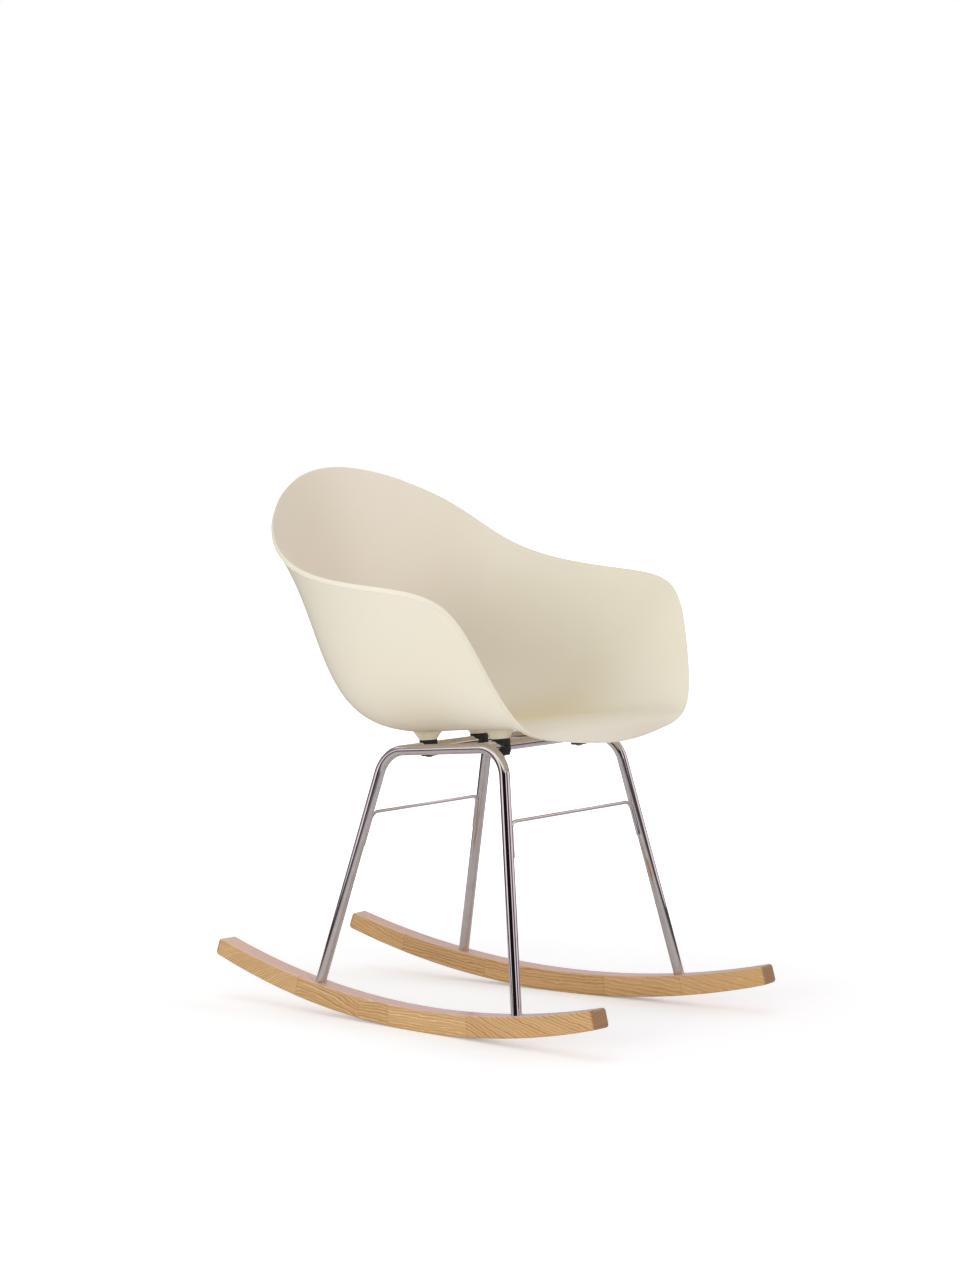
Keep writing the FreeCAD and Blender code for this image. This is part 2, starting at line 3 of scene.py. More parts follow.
import bmesh
import bpy
import numpy as np
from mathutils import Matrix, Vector


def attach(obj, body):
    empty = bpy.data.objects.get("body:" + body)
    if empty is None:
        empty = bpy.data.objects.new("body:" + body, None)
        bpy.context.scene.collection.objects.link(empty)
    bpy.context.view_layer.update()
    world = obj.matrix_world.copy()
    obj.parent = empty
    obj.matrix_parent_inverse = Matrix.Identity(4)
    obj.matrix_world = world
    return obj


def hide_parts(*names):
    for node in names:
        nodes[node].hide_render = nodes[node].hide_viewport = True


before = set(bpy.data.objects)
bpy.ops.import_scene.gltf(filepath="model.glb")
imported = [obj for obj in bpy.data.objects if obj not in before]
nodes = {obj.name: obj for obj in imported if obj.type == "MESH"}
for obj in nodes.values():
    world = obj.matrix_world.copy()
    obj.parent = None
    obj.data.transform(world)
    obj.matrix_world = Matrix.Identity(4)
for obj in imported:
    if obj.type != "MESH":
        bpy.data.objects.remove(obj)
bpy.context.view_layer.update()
print("frame loaded:", len(nodes), "nodes")

mm = 0.001  # the dictionaries are in millimetres and degrees, the meshes in metres


# Shader maths: an expression on fields adds its own Math nodes

class Field:
    def __init__(self, graph, socket):
        self.graph = graph
        self.socket = socket

    def maths(self, operation, *others):
        values = dict(enumerate((self,) + others))
        return self.graph.node("ShaderNodeMath", {"operation": operation}, values)

    def reflected(self, operation, other):
        return self.graph.node("ShaderNodeMath", {"operation": operation}, {0: other, 1: self})

    def __add__(self, other):
        return self.maths("ADD", other)

    def __sub__(self, other):
        return self.maths("SUBTRACT", other)

    def __mul__(self, other):
        return self.maths("MULTIPLY", other)

    def __truediv__(self, other):
        return self.maths("DIVIDE", other)

    def __pow__(self, other):
        return self.maths("POWER", other)

    def __radd__(self, other):
        return self.reflected("ADD", other)

    def __rsub__(self, other):
        return self.reflected("SUBTRACT", other)

    def smooth(self, low, high):  # 0 below low, 1 above high, an S curve between
        return self.graph.node("ShaderNodeMapRange", {"interpolation_type": "SMOOTHSTEP"},
                               {"Value": self, "From Min": low, "From Max": high})


class Graph:
    def __init__(self, tree):
        self.tree = tree
        tree.nodes.clear()

    def node(self, kind, settings=None, inputs=None, output=0):
        made = self.tree.nodes.new(kind)
        for name, value in (settings or {}).items():
            if name == "stops":
                for place, (position, colour) in enumerate(value):
                    ramp = made.color_ramp.elements
                    stop = ramp[place] if place < 2 else ramp.new(position)
                    stop.position = position
                    stop.color = (*colour, 1)
            else:
                setattr(made, name, value)
        for name, value in (inputs or {}).items():
            if isinstance(value, Field):
                self.tree.links.new(value.socket, made.inputs[name])
            else:
                made.inputs[name].default_value = value
        return Field(self, made.outputs[output]) if len(made.outputs) else None

    def place(self):  # the object's own coordinates, in metres, as three fields
        point = self.node("ShaderNodeTexCoord", output="Object")
        parts = self.node("ShaderNodeSeparateXYZ", inputs={0: point})
        return point, [Field(self, parts.socket.node.outputs[axis]) for axis in range(3)]

    def vector(self, x, y, z):
        return self.node("ShaderNodeCombineXYZ", inputs={0: x, 1: y, 2: z})

    def noise(self, vector, scale, detail=2.0):
        return self.node("ShaderNodeTexNoise", inputs={"Vector": vector, "Scale": scale, "Detail": detail})

    def mixed(self, factor, first, second):  # colours
        return self.node("ShaderNodeMix", {"data_type": "RGBA"}, {0: factor, 6: first, 7: second}, 2)

    def bump(self, height, distance, strength=1.0):
        return self.node("ShaderNodeBump", inputs={"Height": height, "Distance": distance,
                                                   "Strength": strength})


def rgb(red, green, blue):  # a screen colour, 0 to 255, as the light it stands for
    channels = [value / 255 for value in (red, green, blue)]
    return tuple(c / 12.92 if c < 0.04045 else ((c + 0.055) / 1.055) ** 2.4 for c in channels) + (1.0,)


def finish(name, paint):
    material = bpy.data.materials.new(name)
    material.use_nodes = True
    graph = Graph(material.node_tree)
    shader = graph.node("ShaderNodeBsdfPrincipled", inputs=paint(graph))
    graph.node("ShaderNodeOutputMaterial", inputs={"Surface": shader})
    return material


# Meshes from grids of points

weldDistance = 1e-7  # metres
sharpAngle = radians(38)


def surface(name, sheets, material):
    # each sheet is rings of points, joined by quads to the next point round and the next ring
    vertices, faces, start = [], [], 0
    for rings, caps in sheets:
        rows, around = rings.shape[:2]
        index = start + np.arange(rows * around).reshape(rows, around)
        ahead = np.roll(index, -1, axis=1)
        faces += np.stack([index[:-1], ahead[:-1], ahead[1:], index[1:]], -1).reshape(-1, 4).tolist()
        vertices.append(rings.reshape(-1, 3))
        start += rows * around
        for cap, edge in zip(caps, (0, -1)):
            if cap is not None:  # a fan from a middle point closes this end
                vertices.append(np.reshape(cap, (1, 3)))
                faces += np.stack([index[edge], ahead[edge], np.full(around, start)], -1).tolist()
                start += 1
    mesh = bpy.data.meshes.new(name)
    mesh.from_pydata((np.concatenate(vertices) * mm).tolist(), [], faces)
    work = bmesh.new()
    work.from_mesh(mesh)
    bmesh.ops.remove_doubles(work, verts=work.verts, dist=weldDistance)
    bmesh.ops.recalc_face_normals(work, faces=work.faces)
    work.to_mesh(mesh)
    work.free()
    mesh.shade_smooth()
    mesh.set_sharp_from_angle(angle=sharpAngle)
    mesh.materials.append(material)
    piece = bpy.data.objects.new(name, mesh)
    bpy.context.scene.collection.objects.link(piece)
    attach(piece, "root")
    return piece


# The base's layout, as in the part

base = {"track": 369, "splay": 4.7, "lean": 9.25, "runnerHeight": 31, "runnerTop": 1345, "runnerBottom": 1246,
        "frontEnd": 15.2, "rearEnd": 18.5}
contactAlong = -base["runnerBottom"] * cos(radians(base["splay"])) * (
    sin(radians(base["rearEnd"])) - sin(radians(base["frontEnd"]))) / 2
tube = {"diameter": 15, "bend": 45, "rearFoot": 196.5, "frontFoot": 178.5, "rearCorner": (117, 350.4),
        "frontCorner": (-101.7, 370), "socketDepth": 10}


def runnerTop(along):
    return base["runnerTop"] - sqrt(base["runnerTop"] ** 2 - along ** 2)


def sidePlane(sign):
    splay, lean = radians(base["splay"]), radians(base["lean"])
    along = np.array([-sign * sin(splay), cos(splay), 0])
    outward = np.array([sign * cos(splay), sin(splay), 0])
    rise = np.array([0, 0, cos(lean)]) - outward * sin(lean)
    drift = (runnerTop(tube["rearFoot"]) + runnerTop(tube["frontFoot"])) / 2 * tan(lean)
    origin = np.array([sign * base["track"] / 2, contactAlong, base["runnerHeight"]]) + outward * drift
    return origin, along, rise


def footRise(along):
    return (runnerTop(along) - tube["socketDepth"]) / cos(radians(base["lean"]))


frameCorners = np.array([(tube["rearFoot"], footRise(tube["rearFoot"])), tube["rearCorner"],
                         tube["frontCorner"], (-tube["frontFoot"], footRise(tube["frontFoot"]))])


def bentPath(corners, bend, steps=14):
    # straight runs through the corners, each corner rounded by a tangent arc; gives points and directions
    points, headings = [corners[0]], [corners[1] - corners[0]]
    for before, corner, after in zip(corners, corners[1:], corners[2:]):
        back = (before - corner) / np.linalg.norm(before - corner)
        ahead = (after - corner) / np.linalg.norm(after - corner)
        turn = pi - np.arccos(back @ ahead)
        centre = corner + (back + ahead) / np.linalg.norm(back + ahead) * bend / cos(turn / 2)
        first = corner + back * bend * tan(turn / 2) - centre
        angles = np.linspace(0, turn, steps)[:, None]
        arc = first * np.cos(angles) - back * bend * np.sin(angles)
        points += list(centre + arc)
        headings += list(-first * np.sin(angles) - back * bend * np.cos(angles))
    points.append(corners[-1])
    headings.append(corners[-1] - corners[-2])
    headings = np.array(headings)
    return np.array(points), headings / np.linalg.norm(headings, axis=1)[:, None]


def roundedEnd(point, inward, normal, radius, endRound):
    # a quarter circle in section, from the full radius out to the end face; gives points, radii and normals
    steps = np.linspace(0, pi / 2, 5)
    points = point + inward * (endRound * (1 - np.sin(steps)))[:, None]
    return points, radius - endRound * (1 - np.cos(steps)), np.repeat([normal], len(steps), axis=0)


def roundBar(path, headings, origin, right, ahead, radius, endRound=0.6, around=40):
    # a circle carried along a flat path: point + radius * (cos a * in-plane normal + sin a * plane normal),
    # drawn in at both ends by a small rounding
    flat = np.cross(right, ahead)
    points = origin + path[:, :1] * right + path[:, 1:] * ahead
    ways = headings[:, :1] * right + headings[:, 1:] * ahead
    normals = -headings[:, 1:] * right + headings[:, :1] * ahead
    first = [part[::-1] for part in roundedEnd(points[0], ways[0], normals[0], radius, endRound)]
    last = roundedEnd(points[-1], -ways[-1], normals[-1], radius, endRound)
    middle = (points[1:-1], np.full(len(points) - 2, float(radius)), normals[1:-1])
    points, radii, normals = [np.concatenate(parts) for parts in zip(first, middle, last)]
    angles = np.linspace(0, 2 * pi, around, endpoint=False)
    rings = points[:, None] + radii[:, None, None] * (
        np.cos(angles)[None, :, None] * normals[:, None] + np.sin(angles)[None, :, None] * flat)
    return rings, (points[0], points[-1])


# Camera: the photograph's view

# the focal length is in pixels of the photograph; the sensor is in millimetres and the far clip in metres
lens = {"azimuth": -53, "elevation": 4, "distance": 4540.5, "target": (0, 1.73, 530.72), "focal": 3174.46,
        "photoHeight": 1280, "sensor": 36, "farClip": 50}
azimuth, elevation = radians(lens["azimuth"]), radians(lens["elevation"])
away = Vector((sin(azimuth) * cos(elevation), -cos(azimuth) * cos(elevation), sin(elevation)))
cameraData = bpy.data.cameras.new("camera")
cameraData.sensor_width = lens["sensor"]
cameraData.lens = lens["focal"] * lens["sensor"] / lens["photoHeight"]
cameraData.clip_end = lens["farClip"]
camera = bpy.data.objects.new("camera", cameraData)
camera.location = (Vector(lens["target"]) + away * lens["distance"]) * mm
camera.rotation_mode = "QUATERNION"
camera.rotation_quaternion = (-away).to_track_quat("-Z", "Y")
bpy.context.scene.collection.objects.link(camera)
bpy.context.scene.camera = camera
print("camera set")


# Finishes

# The bowl's middle gets painted shade and bounced light: a deeper, yellower colour that stands in for the light
# the bowl throws on itself. It fades out between two distances from the seat's middle, in metres.
plastic = {"colour": rgb(236, 231, 211), "shade": rgb(233, 227, 204), "paintedBowlShade": rgb(230, 214, 174),
           "paintedShadeMiddle": (0.0, -0.03, 0.47), "paintedShadeReach": (0.05, 0.20), "roughness": 0.36, "grainDepth": 0.12}


def moulded(graph):
    point, places = graph.place()
    # painted shade: the base colour turns deeper and yellower near the bowl's middle, in place of shade and
    # bounced light
    across, ahead, up = (place - middle for place, middle in zip(places, plastic["paintedShadeMiddle"]))
    reach = (across * across * 0.6 + ahead * ahead + up * up).maths("SQRT")
    cloud = graph.noise(point, 3.5, 3)
    grain = graph.noise(point, 900, 2)
    ripple = graph.noise(point, 45, 2)
    cream = graph.mixed(cloud.smooth(0.3, 0.7), plastic["colour"], plastic["shade"])
    return {"Base Color": graph.mixed(reach.smooth(*plastic["paintedShadeReach"]), plastic["paintedBowlShade"], cream),
            "Roughness": plastic["roughness"] + (grain - 0.5) * 0.10 + (cloud - 0.5) * 0.06,
            "Normal": graph.bump(grain * 0.6 + ripple * 0.4, plastic["grainDepth"] * mm, 0.35),
            "IOR": 1.49}


shellPlastic = finish("creamPlastic", moulded)

chrome = {"colour": rgb(228, 225, 224), "haze": rgb(219, 215, 213), "roughness": 0.045}


def plated(graph):
    point, _ = graph.place()
    haze = graph.noise(point, 60, 3)
    return {"Base Color": graph.mixed(haze.smooth(0.35, 0.75), chrome["colour"], chrome["haze"]),
            "Roughness": chrome["roughness"] + haze.smooth(0.5, 0.8) * 0.03,
            "Metallic": 1.0}


chromePlate = finish("chromePlate", plated)

blackMoulding = {"colour": rgb(34, 33, 33), "pale": rgb(44, 43, 43), "roughness": 0.42, "grainDepth": 0.05}


def blackened(graph):
    point, _ = graph.place()
    grain = graph.noise(point, 1600, 2)
    cloud = graph.noise(point, 90, 2)
    return {"Base Color": graph.mixed(cloud, blackMoulding["colour"], blackMoulding["pale"]),
            "Roughness": blackMoulding["roughness"] + (grain - 0.5) * 0.15,
            "Normal": graph.bump(grain, blackMoulding["grainDepth"] * mm, 0.5)}


blackPlastic = finish("blackPlastic", blackened)


# fastener metals: two tones and a roughness that change with a fine noise
zinc = {"colours": (rgb(196, 197, 199), rgb(214, 214, 213)), "scale": 420, "roughness": 0.22, "spread": 0.14}
brass = {"colours": (rgb(214, 178, 110), rgb(196, 156, 92)), "scale": 300, "roughness": 0.25, "spread": 0.15}


def bareMetal(metal):
    def paint(graph):
        point, _ = graph.place()
        fleck = graph.noise(point, metal["scale"], 3)
        return {"Base Color": graph.mixed(fleck, *metal["colours"]), "Metallic": 1.0,
                "Roughness": metal["roughness"] + fleck * metal["spread"],
                "Normal": graph.bump(fleck, 0.01 * mm, 0.3)}
    return paint


zincSteel = finish("zincSteel", bareMetal(zinc))
bareBrass = finish("bareBrass", bareMetal(brass))

# The runners are short blocks glued end to end. Each block has its own grain lines, a curve in the side view:
# lift + slope * travel + bow * (travel since the joint)^2, plus arch * lift^2 for the arch of a flat cut.
# Travel runs along the runner, lift up from its lower face and across over its width, all in millimetres.
# The 'top' colour is painted sheen: top faces painted lighter and pinker in place of light on the lacquer.
wood = {"plain": rgb(202, 161, 106), "light": rgb(232, 201, 148), "dark": rgb(150, 104, 59),
        "endGrain": rgb(126, 88, 54), "endWidth": 5, "top": rgb(226, 188, 176), "pore": rgb(124, 82, 44),
        "grainDepth": 0.08, "blockShifts": (0, 170, 390, 610, 870)}
blocks = {
    "right": {"joints": (-100, 50, 107, 232), "slope": (-0.44, -0.10, -0.03, -0.30, 1.5),
              "bow": (0.0, 0.0006, 0.0009, 0.0016, 0.0), "arch": (0.0, 0.0, 0.0, 0.0, 0.045),
              "spacing": (4.6, 4.0, 4.2, 4.6, 8.0), "darkLines": (0.95, 0.3, 0.5, 0.6, 0.4),
              "lightLines": (0.45, 1.1, 0.8, 0.7, 1.2), "tone": (-0.12, -0.05, 0.08, 0.06, 0.02)},
    "left": {"joints": (-190, -60, 150, 300), "slope": (-0.36, -0.2, 0.0, 0.0, -0.1),
             "bow": (0.0, 0.0004, 0.0, 0.0003, 0.0), "arch": (0.0, 0.0, 0.0, 0.0, 0.0),
             "spacing": (6.0, 6.0, 5.0, 4.6, 5.0), "darkLines": (0.4, 0.5, 0.6, 0.7, 0.6),
             "lightLines": (0.5, 0.4, 0.15, 0.15, 0.3), "tone": (-0.1, -0.02, 0.1, 0.16, 0.1)}}


def runnerPlace(graph, sign):  # travel, lift, across and how far a point is above the runner's top face
    splay = radians(base["splay"])
    _, (x, y, z) = graph.place()
    fromMiddle = x / mm - sign * base["track"] / 2
    fromContact = y / mm - contactAlong
    height = z / mm
    along = fromMiddle * (-sign * sin(splay)) + fromContact * cos(splay)
    across = fromMiddle * (sign * cos(splay)) + fromContact * sin(splay)
    travel = along.maths("ARCTAN2", base["runnerBottom"] - height) * base["runnerBottom"]
    lift = base["runnerBottom"] - (along * along + (base["runnerBottom"] - height) ** 2).maths("SQRT")
    topCentre = base["runnerHeight"] + base["runnerTop"]
    aboveTop = base["runnerTop"] - (along * along + (topCentre - height) ** 2).maths("SQRT")
    return travel, lift, across, aboveTop


def endFaces(travel):  # 1 at the two ends of a runner
    rear, front = [radians(base[end]) * base["runnerBottom"] for end in ("rearEnd", "frontEnd")]
    return travel.smooth(rear - wood["endWidth"], rear) + 1 - travel.smooth(-front, wood["endWidth"] - front)


def timber(sideName, sign):
    block = blocks[sideName]

    def paint(graph):
        travel, lift, across, aboveTop = runnerPlace(graph, sign)
        steps = [travel.maths("GREATER_THAN", joint) for joint in block["joints"]]

        def perBlock(values):
            total = values[0]
            for step, before, after in zip(steps, values, values[1:]):
                total = step * (after - before) + total
            return total

        slope, bow, arch = perBlock(block["slope"]), perBlock(block["bow"]), perBlock(block["arch"])
        shift = perBlock(wood["blockShifts"])
        since = travel - perBlock((block["joints"][0],) + block["joints"])
        sway = graph.noise(graph.vector(travel * 0.018 + shift, lift * 0.07, across * 0.04), 1.0, 2)
        ripple = graph.noise(graph.vector(travel * 0.07 + shift, lift * 0.16, across * 0.05), 1.0, 2)
        figure = lift + slope * travel + bow * since * since + arch * lift * lift + across * 0.35
        phase = (figure + (sway - 0.5) * 9 + (ripple - 0.5) * 3.2) / perBlock(block["spacing"])
        number = phase.maths("FLOOR")
        place = phase.maths("FRACT")
        chance = graph.node("ShaderNodeTexWhiteNoise", {"noise_dimensions": "1D"}, {"W": number + shift})
        dark = place.smooth(0.1, 0.5) * (1 - place.smooth(0.5, 0.72)) * (chance * 0.9 + 0.25)
        light = place.smooth(0.62, 0.8) * (1 - place.smooth(0.84, 1.0)) * (1.15 - chance * 0.8)
        patches = graph.noise(graph.vector(travel * 0.03 + shift, lift * 0.12, across * 0.1), 1.0, 2)
        straight = lift + slope * travel
        fibre = graph.noise(graph.vector(travel * 0.12, straight * 1.3, across * 1.3), 1.0, 3)
        pores = graph.noise(graph.vector(travel * 0.25, straight * 2.6, across * 2.6), 1.0, 1)
        pores = pores.smooth(0.66, 0.76)
        toDark = dark * perBlock(block["darkLines"]) + perBlock(block["tone"]) + (fibre - 0.5) * 0.5
        toDark = toDark + (patches - 0.5) * 0.35
        toLight = light * perBlock(block["lightLines"]) * patches.smooth(0.3, 0.55)
        colour = graph.mixed(toDark.maths("MAXIMUM", 0.0), wood["plain"], wood["dark"])
        colour = graph.mixed(toLight + (0.5 - fibre).maths("MAXIMUM", 0.0) * 0.5, colour, wood["light"])
        colour = graph.mixed(pores * 0.3, colour, wood["pore"])
        seam = 0.0
        for joint in block["joints"]:
            seam = (1 - (travel - joint).maths("ABSOLUTE").smooth(0.2, 0.9)) + seam
        colour = graph.mixed(seam * 0.28, colour, wood["pore"])
        # painted sheen: top face tinted toward the pale pink 'top' colour; the mask also lowers roughness, adds
        # coat
        topSheenMask = aboveTop.smooth(-1.4, -0.2)
        colour = graph.mixed(topSheenMask * 0.55, colour, wood["top"])
        colour = graph.mixed(endFaces(travel) * 0.7, colour, wood["endGrain"])
        return {"Base Color": colour, "Roughness": 0.40 + fibre * 0.12 - topSheenMask * 0.12,
                "Normal": graph.bump(fibre * 0.6 - pores * 0.5, wood["grainDepth"] * mm, 0.35),
                "Coat Weight": topSheenMask * 0.4 + 0.3, "Coat Roughness": 0.2}
    return paint


rightWood = finish("rightRunnerWood", timber("right", -1))
leftWood = finish("leftRunnerWood", timber("left", 1))


# Seat shell: rings of points as in the part, worked out more finely, with a rounded rim. Its two front corners
# are brought out a little further than the solid's. Rim and floor are ten stations of the left half, from the
# front to the back, in the seat's own frame. The shares place two rings between centre and floor, and two
# between rim and floor. Of those two, hollow draws the upper one in and belly pushes the lower one out.

shell = {"wall": 4.5, "centre": (0, 21.8, 18), "slope": -0.04,
         "shares": (0.35, 0.88, 0.90, 0.45), "insideShares": (0.35, 0.80, 0.82, 0.45),
         "rows": 84, "around": 288,
         # the rim's section from inside to outside: its face leans outwards and ends in a small step under it
         "rimProfile": [(0, -1.5), (0, 0.4), (0.15, 0.85), (0.5, 1.1), (1.0, 1.1), (2.4, -0.1), (3.9, -1.4),
                        (5.2, -2.6), (5.5, -3.1), (5.4, -3.6), (5.0, -3.8), (4.5, -3.9), (4.4, -4.4),
                        (4.5, -5.2)],
         "rim": [(0, -213, -14), (118, -203, -5), (202, -193, 24), (248, -170, 110), (280, -134, 189),
                 (306, -53, 220), (300, 56, 241), (265, 154, 283), (184, 218, 355), (0, 262, 403)],
         "floor": [(0, -194, 28), (115, -188, 25), (187, -162, 19), (205, -103, 11), (206, -62, 7),
                   (204, -7, 6), (198, 57, 4), (170, 119, 4), (110, 162, 6), (0, 180, 9)],
         "hollow": (0, 0, 0, 0, 7, 16, 28, 35, 35, 26), "belly": (0, 0, 0, 0, 8, 18, 33, 41, 41, 31)}


def closedRing(half):  # the other half is the mirror image, walked back
    return np.vstack([half, half[-2:0:-1] * [-1, 1, 1]])


def shellRings(form, shares):
    rim, floor = np.array(form["rim"], float), np.array(form["floor"], float)
    centre = np.array(form["centre"], float)
    inner, outer, low, high = shares
    nearCentre = centre + (floor - centre) * inner
    nearCentre[:, 2] = centre[2] + form["slope"] * (nearCentre[:, 1] - centre[1])
    inward = np.stack([-rim[:, 0], centre[1] - rim[:, 1], np.zeros(len(rim))], 1)
    inward /= np.linalg.norm(inward, axis=1)[:, None]
    hollow, belly = [inward * np.array(form[name])[:, None] for name in ("hollow", "belly")]
    halves = [centre + (floor - centre) * 0, nearCentre, centre + (floor - centre) * outer,
              rim + (floor - rim) * low - belly, rim + (floor - rim) * high + hollow, rim]
    return np.array([closedRing(half) for half in halves])


def ringNormals(rings):
    normals = np.zeros_like(rings)
    normals[0] = (0, 0, -1)
    for row in range(1, len(rings)):
        across = rings[min(row + 1, len(rings) - 1)] - rings[row - 1]
        around = np.roll(rings[row], -1, axis=0) - np.roll(rings[row], 1, axis=0)
        normal = -np.cross(across, around)
        normals[row] = normal / np.linalg.norm(normal, axis=1)[:, None]
    return normals


def splinePoles(points):  # poles of the even, closed cubic spline through the points
    count, fade = len(points), sqrt(3) - 2
    weights = [sqrt(3) * (fade ** step + fade ** (count - step)) / (1 - fade ** count)
               for step in range(count)]
    return sum(np.roll(points, -step, axis=0) * weight for step, weight in enumerate(weights))


def ringCurve(poles, turns):  # the closed cubic spline at places counted in stations
    cell = np.floor(turns).astype(int)
    part = (turns - cell)[:, None]
    basis = ((1 - part) ** 3, 3 * part ** 3 - 6 * part ** 2 + 4, -3 * part ** 3 + 3 * part ** 2 + 3 * part + 1,
             part ** 3)
    return sum(weight * poles[(cell + shift) % len(poles)] for shift, weight in zip((-1, 0, 1, 2), basis)) / 6


def ringSurface(rings, rows, around):
    # one Bezier span outwards times the closed spline round: sum of C(n,i) t^i (1-t)^(n-i) * ring i
    degree = len(rings) - 1
    turns = np.linspace(0, rings.shape[1], around, endpoint=False)
    share = np.linspace(0, 1, rows)[:, None, None]
    curves = [ringCurve(splinePoles(ring), turns) for ring in rings]
    return sum(comb(degree, i) * share ** i * (1 - share) ** (degree - i) * curve[None]
               for i, curve in enumerate(curves))


def sidePoint(sign, corner):  # a corner of the side frame's path, in the chair
    origin, along, rise = sidePlane(sign)
    return origin + along * corner[0] + rise * corner[1]


# the seat's frame sits on the mounts and is pitched like the top runs of the side frames
mount = {"centreAlong": 5.5, "depth": 154, "frontSpacing": 186, "rearSpacing": 120, "blockTop": 10,
         "bossRadius": 13, "bossDraft": 30, "bossEdge": 0.8, "bossFillet": 7, "bossAround": 56,
         "insertRadius": 5, "insertDepth": 3, "search": 60, "floorRows": 60, "floorHeight": 70}
runRear, runFront = sidePoint(1, frameCorners[1]), sidePoint(1, frameCorners[2])
run = runFront - runRear
pitch = atan2(run[2], -run[1])
mountAhead = np.array([0, cos(pitch), -sin(pitch)])
mountUp = np.array([0, sin(pitch), cos(pitch)])
mountMiddle = runRear + run * ((mount["centreAlong"] + contactAlong - runRear[1]) / run[1])
mountMiddle[0] = 0
seatOrigin = mountMiddle + mountUp * mount["blockTop"]
seatAxes = np.array([[1, 0, 0], mountAhead, mountUp])


def intoChair(points):  # from the shell's own frame
    return seatOrigin + points @ seatAxes


def bossSheet(foot, under):
    # turned about the boss's axis: bore, flat end, rounded edge, cone, then a Bezier curve that leaves the cone
    # and lands on the shell's underside
    angles = np.linspace(0, 2 * pi, mount["bossAround"], endpoint=False)
    spoke = np.stack([np.cos(angles), np.sin(angles)], 1)
    slope = tan(radians(mount["bossDraft"]))
    radius, edge, fillet = mount["bossRadius"], mount["bossEdge"], mount["bossFillet"]

    def heightAt(reach):  # of the underside, from its six nearest points
        place = foot + spoke * reach[:, None]
        gap = np.hypot(under[:, 0] - place[:, :1], under[:, 1] - place[:, 1:])
        near = np.argsort(gap, axis=1)[:, :6]
        weight = 1 / (np.take_along_axis(gap, near, 1) + 0.05) ** 2
        return (under[near, 2] * weight).sum(1) / weight.sum(1)

    meet = np.full(len(angles), 12.0)  # a first guess at where the cone meets the underside, then made better
    for _ in range(12):
        meet = heightAt(radius + meet * slope)
    rows = [(np.full(len(angles), reach), np.full(len(angles), height)) for reach, height in (
        (mount["insertRadius"], mount["insertDepth"]), (mount["insertRadius"], 0), (radius - edge, 0),
        (radius - edge * 0.3, edge * 0.25), (radius, edge))]
    begin = (radius + (meet - fillet) * slope, meet - fillet)
    corner = (radius + meet * slope, meet)
    landing = corner[0] + fillet
    end = (landing, heightAt(landing) + 0.25)  # just inside the wall
    for share in np.linspace(0, 1, 10):
        weights = ((1 - share) ** 2, 2 * share * (1 - share), share ** 2)
        rows.append(tuple(sum(weight * place[axis] for weight, place in zip(weights, (begin, corner, end)))
                          for axis in (0, 1)))
    rings = np.array([np.column_stack([foot + spoke * reach[:, None], height]) for reach, height in rows])
    return intoChair(rings), (None, None)


def seatShell():
    rings = shellRings(shell, shell["shares"])
    normals = ringNormals(rings)
    inside = ringSurface(shellRings(shell, shell["insideShares"]), shell["rows"], shell["around"])
    outside = ringSurface(rings + normals * shell["wall"], shell["rows"], shell["around"])
    # the rim is its profile carried round the edge: inner edge + across * wall direction + along * way out
    wallWay = outside[-1] - inside[-1]
    wallWay /= np.linalg.norm(wallWay, axis=1)[:, None]
    wayOut = inside[-1] - inside[-2]
    wayOut /= np.linalg.norm(wayOut, axis=1)[:, None]
    rim = np.array([inside[-1] + wallWay * across + wayOut * along for across, along in shell["rimProfile"]])
    sheet = np.concatenate([inside[1:-1], rim, outside[-2:0:-1]])
    sheets = [(intoChair(sheet), (intoChair(inside[0, :1]), intoChair(outside[0, :1])))]
    under = outside[1:mount["floorRows"]].reshape(-1, 3)
    under = under[under[:, 2] < mount["floorHeight"]]
    for step, spacing in ((-1, mount["frontSpacing"]), (1, mount["rearSpacing"])):
        along = step * mount["depth"] / 2
        for across in (-spacing / 2, spacing / 2):
            near = under[np.hypot(under[:, 0] - across, under[:, 1] - along) < mount["search"]]
            sheets.append(bossSheet(np.array([across, along]), near))
    piece = surface("seatShell", sheets, shellPlastic)
    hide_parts("seat_shell")


seatShell()
print("seat shell made")


# Base tubes and rods

for sideName, sign in (("right", -1), ("left", 1)):
    origin, along, rise = sidePlane(sign)
    path, headings = bentPath(frameCorners, tube["bend"], 24)
    rings, ends = roundBar(path, headings, origin, along, rise, tube["diameter"] / 2)
    piece = surface(sideName + "SideFrame", [(rings, ends)], chromePlate)
    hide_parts(sideName + "_side_frame")
print("side frames made")

rod = {"diameter": 5, "bend": 12, "tail": 50, "frontHeight": 296, "rearHeight": 288, "gap": 0.1,
       "endRound": 0.5, "around": 24}


def legLine(end):  # bottom and direction of the left leg
    foot, corner = (0, 1) if end == "rear" else (3, 2)
    bottom, top = sidePoint(1, frameCorners[foot]), sidePoint(1, frameCorners[corner])
    return bottom, (top - bottom) / np.linalg.norm(top - bottom)


